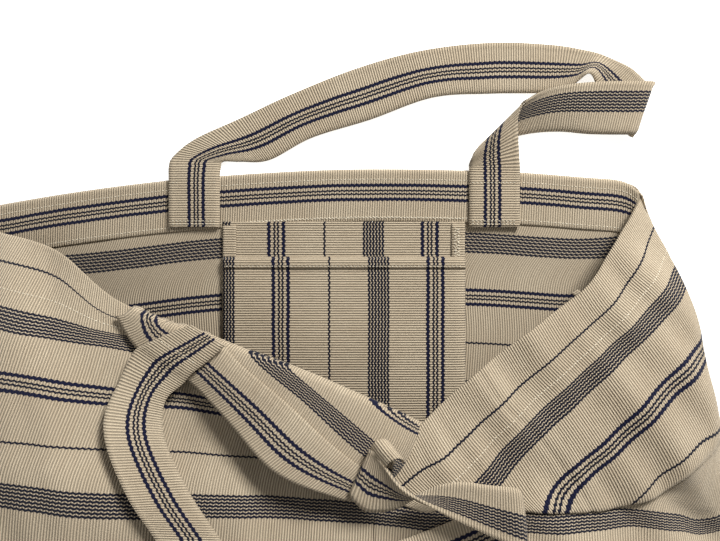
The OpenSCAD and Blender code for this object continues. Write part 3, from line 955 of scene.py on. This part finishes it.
@dataclass
class Strap:
    """A strap: a strip folded lengthwise, one edge folded and the other closed with stitches."""

    cotton: bpy.types.Material
    pairs: list[tuple[Point, Point]]
    thick: float = 3.0
    width: float = 50.0
    four_from_edge: float = 27.0   # middle of the four lines, from the stitched edge
    stitched_at: float = 0.055     # the stitches' place, as a share of the width
    across: int = 12               # faces across the strap

    def section(self, stitched: np.ndarray, folded: np.ndarray, up: np.ndarray, along: float,
                soft: float) -> list[np.ndarray]:
        """Give the points round the strap at one place.

        Args:
            stitched: the stitched edge.
            folded: the folded edge.
            up: unit vector out of the first face.
            along: distance along the strap.
            soft: how far the middle is pushed off the straight.

        Returns:
            Points (x, y, z, along, down), first face from the stitched edge, then back.
        """
        ring = []
        start = FOUR_LINES_AT + self.four_from_edge
        for face in (1, -1):
            for k in range(self.across + 1):
                share = k / self.across if face == 1 else 1 - k / self.across
                round_fold = math.sqrt(max(0.0, 1 - (max(0.0, share - 0.9) / 0.1) ** 2)) + 0.12
                ridge = 0.5 * math.exp(-(share / 0.05) ** 2)
                dent = 0.4 * math.exp(-((share - 0.10) / 0.025) ** 2)
                half = self.thick / 2 * min(1.0, round_fold) * (1 + ridge - dent)
                place = stitched + (folded - stitched) * share
                place = place + up * (face * half + soft * math.sin(math.pi * share))
                down = start - share * self.width if face == 1 else start - (2 - share) * self.width
                ring.append(np.concatenate([place, [along, down]]))
        ring.append(np.concatenate([ring[0][:3], [along, start - 2 * self.width]]))
        return ring

    def frames(self) -> tuple[np.ndarray, np.ndarray, np.ndarray, np.ndarray]:
        """Give both edges, the upward directions and the lengths along the strap."""
        a, b = (np.array([p[k] for p in self.pairs], float) for k in (0, 1))
        spans = np.linalg.norm(np.diff(a + b, axis=0), axis=1) / 2
        steps = [max(2, math.ceil(span / 3.0)) for span in spans]
        first, second = curve(a, steps), curve(b, steps)
        middle = (first + second) / 2
        along = np.gradient(middle, axis=0)
        ups = np.cross(second - first, along)
        ups /= np.maximum(np.linalg.norm(ups, axis=1, keepdims=True), 1e-9)
        if ups[0][2] < 0:
            ups = -ups
        lengths = np.concatenate([[0], np.cumsum(np.linalg.norm(np.diff(middle, axis=0), axis=1))])
        return first, second, ups, lengths

    def build(self, name: str, seed: float) -> tuple[bpy.types.Object, list[np.ndarray]]:
        """Build the strap and give the lines of stitches along its stitched edge.

        Args:
            name: the piece's name.
            seed: picks its waves.

        Returns:
            The strap, and the stitch lines on its two faces.
        """
        first, second, ups, lengths = self.frames()
        sections, tops, undersides = [], [], []
        for a, b, up, s in zip(first, second, ups, lengths):
            soft = (1.6 * noise.noise(Vector((s / 70, seed, 0.3)))
                    + 0.5 * noise.noise(Vector((s / 18, seed, 1.7))))
            sections.append(self.section(a, b, up, s, soft))
            place = a + (b - a) * self.stitched_at + up * soft * math.sin(math.pi * self.stitched_at)
            tops.append(np.concatenate([place, up]))
            undersides.append(np.concatenate([place, -up]))
        if np.cross(second[0] - first[0], first[1] - first[0])[2] < 0:
            sections.reverse()
        bm = bmesh.new()
        add_grid(bm, np.array(sections), closed=True)
        bmesh.ops.holes_fill(bm, edges=[e for e in bm.edges if e.is_boundary])
        bmesh.ops.recalc_face_normals(bm, faces=bm.faces)
        strap = finish_mesh(bm, name, self.cotton)
        return strap, [np.array(tops), np.array(undersides)]


# Both edges of each strap from end to end: the stitched edge first, then the folded one
BACK_LOOP = [
    ((-172, -57, 5.5), (-122, -57, 5.5)), ((-172, -48, 5.7), (-122, -48, 5.7)),
    ((-172, -25, 5.7), (-122, -25, 5.7)), ((-172, -8, 5.7), (-122, -8, 5.6)),
    ((-172, 2, 5.2), (-121, 2, 4.5)), ((-169, 12, 4), (-119, 8, 4)), ((-147, 30, 4), (-102, 8, 4)),
    ((-102, 51, 3), (-73, 10, 3)), ((-53, 74, 3), (-31, 32, 3)), ((12, 100, 3), (27, 50, 3)),
    ((77, 118, 3), (89, 72, 3)), ((146, 126, 3), (148, 76, 3)), ((206, 124, 3), (204, 77, 3)),
    ((241, 118, 4), (226, 82, 6)), ((260, 111, 6), (241, 92, 16)), ((285, 101, 4), (256, 72, 6)),
    ((304, 84, 4), (284, 34, 4)), ((306, 86, 9), (288, 35, 9)), ((297, 85, 14), (282, 33, 14)),
    ((252, 84, 16), (243, 34, 11)), ((218, 81, 17), (214, 37, 8)), ((198, 76, 17), (186, 36, 4)),
    ((185, 69, 18), (156, 29, 3)), ((176, 62, 17), (133, 20, 5)), ((171, 45, 14), (127, 11, 9)),
    ((173, 22, 10), (125, 5, 6)), ((175, 2, 6.6), (125, 2, 6)), ((175, -10, 5.8), (125, -10, 5.8)),
    ((175, -30, 5.7), (125, -30, 5.7)), ((175, -57, 5.5), (125, -57, 5.5))]

FRONT_LOOP = [
    ((-132, -148, 75), (-101, -166, 78)), ((-152, -156, 76), (-117, -180, 79)),
    ((-172, -165, 76), (-131, -191, 79)), ((-183, -172, 74), (-139, -200, 77)),
    ((-194, -198, 80), (-153, -213, 79)), ((-202, -224, 92), (-155, -232, 84)),
    ((-196, -250, 103), (-148, -252, 92)), ((-175, -288, 113), (-127, -290, 98)),
    ((-153, -321, 113), (-101, -328, 99)), ((-131, -360, 109), (-84, -351, 101)),
    ((-87, -389, 107), (-61, -354, 98)), ((-25, -400, 99), (-16, -352, 91)),
    ((59, -382, 96), (45, -336, 87)), ((109, -364, 96), (95, -317, 88)),
    ((152, -342, 98), (148, -290, 93)), ((157, -338, 103), (153, -287, 98)),
    ((150, -332, 108), (148, -283, 103)), ((124, -321, 107), (126, -281, 102)),
    ((101, -311, 105), (104, -279, 100)), ((84, -303, 103), (86, -282, 97)),
    ((66, -294, 101), (70, -291, 92)), ((50, -282, 100), (56, -302, 90)),
    ((39, -268, 98), (42, -308, 88)), ((31, -256, 95), (22, -308, 89)), ((27, -254, 92), (10, -296, 93)),
    ((27, -256, 86), (8, -293, 89)), ((36, -262, 80), (14, -298, 86)), ((48, -268, 78), (30, -304, 84))]


@dataclass
class Straps:
    """Both straps and the stitches across their sewn ends."""

    cotton: bpy.types.Material
    thread: bpy.types.Material

    def build(self) -> list[bpy.types.Object]:
        """Build the straps, sew their stitched edges, and sew their ends."""
        back, back_rows = Strap(self.cotton, BACK_LOOP).build("back_strap_cloth", 3.0)
        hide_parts("back_strap", "back_strap_left_tab", "back_strap_right_tab")
        front, front_rows = Strap(self.cotton, FRONT_LOOP).build("front_strap_cloth", 7.0)
        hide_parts("front_strap", "front_strap_left_tab", "front_strap_right_tab")
        back_edge = Stitch().sew("back_strap_edge_stitches", back_rows, self.thread, 1.0)
        front_edge = Stitch().sew("front_strap_edge_stitches", front_rows, self.thread, 1.0)
        for piece in (back, back_edge):
            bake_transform(piece)
        for piece in (front, front_edge):
            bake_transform(piece)
        ends = []
        for x in (-147, 150):
            for y in (-13, -51, -54):
                ends.append(np.array([[px, y, 6.2, 0, 0, 1] for px in np.linspace(x - 23, x + 23, 14)]))
        back_ends = Stitch().sew("back_strap_end_stitches", ends, self.thread, 1.1)
        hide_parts("back_tab_stitching")
        across = [np.array([[*(np.array(a) * (1 - s) + np.array(b) * s), 0.1, 0.2, 0.97]
                            for s in np.linspace(0.05, 0.95, 14)])
                  for a, b in (((-161, -161, 76), (-124, -184, 79)), ((-136, -149, 75), (-104, -168, 78)))]
        front_ends = Stitch().sew("front_strap_end_stitches", across, self.thread, 1.7)
        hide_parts("front_tab_stitching")
        for piece in (back_ends, front_ends):
            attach(piece, Body.SACK.value)
        return [back, front, back_edge, front_edge, back_ends, front_ends]


@dataclass
class Studio:
    """Plain white floor, soft lights and the camera, which looks straight down."""

    eye: tuple[float, float, float] = (17.0, -100.0, 650.0)
    view_width: float = 720.0      # how much floor the view takes in across
    sensor: float = 36.0
    room: float = 0.27             # light that comes from all round

    def light(self, name: str, place: Point, aim: Point, size: float, power: float) -> None:
        """Hang one square soft light.

        Args:
            name: its name.
            place: where it hangs, in metres.
            aim: the point it looks at.
            size: its side, in metres.
            power: its power, in watts.
        """
        data = bpy.data.lights.new(name, "AREA")
        data.size = size
        data.energy = power
        lamp = bpy.data.objects.new(name, data)
        lamp.location = place
        lamp.rotation_euler = (Vector(aim) - Vector(place)).to_track_quat("-Z", "Y").to_euler()
        bpy.context.scene.collection.objects.link(lamp)

    def build(self) -> None:
        """Set up the camera, the floor and the lights."""
        data = bpy.data.cameras.new("camera")
        data.sensor_width = self.sensor
        data.lens = self.sensor * self.eye[2] / self.view_width
        data.clip_start = 0.01
        camera = bpy.data.objects.new("camera", data)
        camera.location = Vector(self.eye) * MM
        bpy.context.scene.collection.objects.link(camera)
        bpy.context.scene.camera = camera

        bm = bmesh.new()
        bmesh.ops.create_grid(bm, x_segments=1, y_segments=1, size=4.0)
        floor = finish_mesh(bm, "floor", StudioPaper().make())

        bpy.context.scene.view_settings.view_transform = "Standard"
        world = bpy.data.worlds.new("studio")
        bpy.context.scene.world = world
        world.use_nodes = True
        sky = world.node_tree.nodes["Background"]
        sky.inputs["Color"].default_value = (1.0, 1.0, 1.0, 1.0)
        sky.inputs["Strength"].default_value = self.room
        self.light("window", place=(1.0, 1.35, 1.25), aim=(0, -0.15, 0), size=0.7, power=78)
        self.light("fill", place=(-1.5, -0.6, 1.7), aim=(0, -0.2, 0), size=1.6, power=6)


def main() -> None:
    """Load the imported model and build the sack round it."""
    logging.basicConfig(level=logging.INFO, format="%(name)s: %(message)s")
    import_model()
    Studio().build()
    cotton, thread = RibbedCotton().make(), SewingThread().make()
    for assembly in (BackWall(cotton, thread), FrontWall(cotton, thread), Seams(cotton),
                     Pocket(cotton, thread), Straps(cotton, thread)):
        for piece in assembly.build():
            if isinstance(assembly, (BackWall, FrontWall, Seams)):
                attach(piece, Body.SACK.value)
            LOG.info("%s: %d vertices", piece.name, len(piece.data.vertices))


if __name__ == "__main__":
    main()
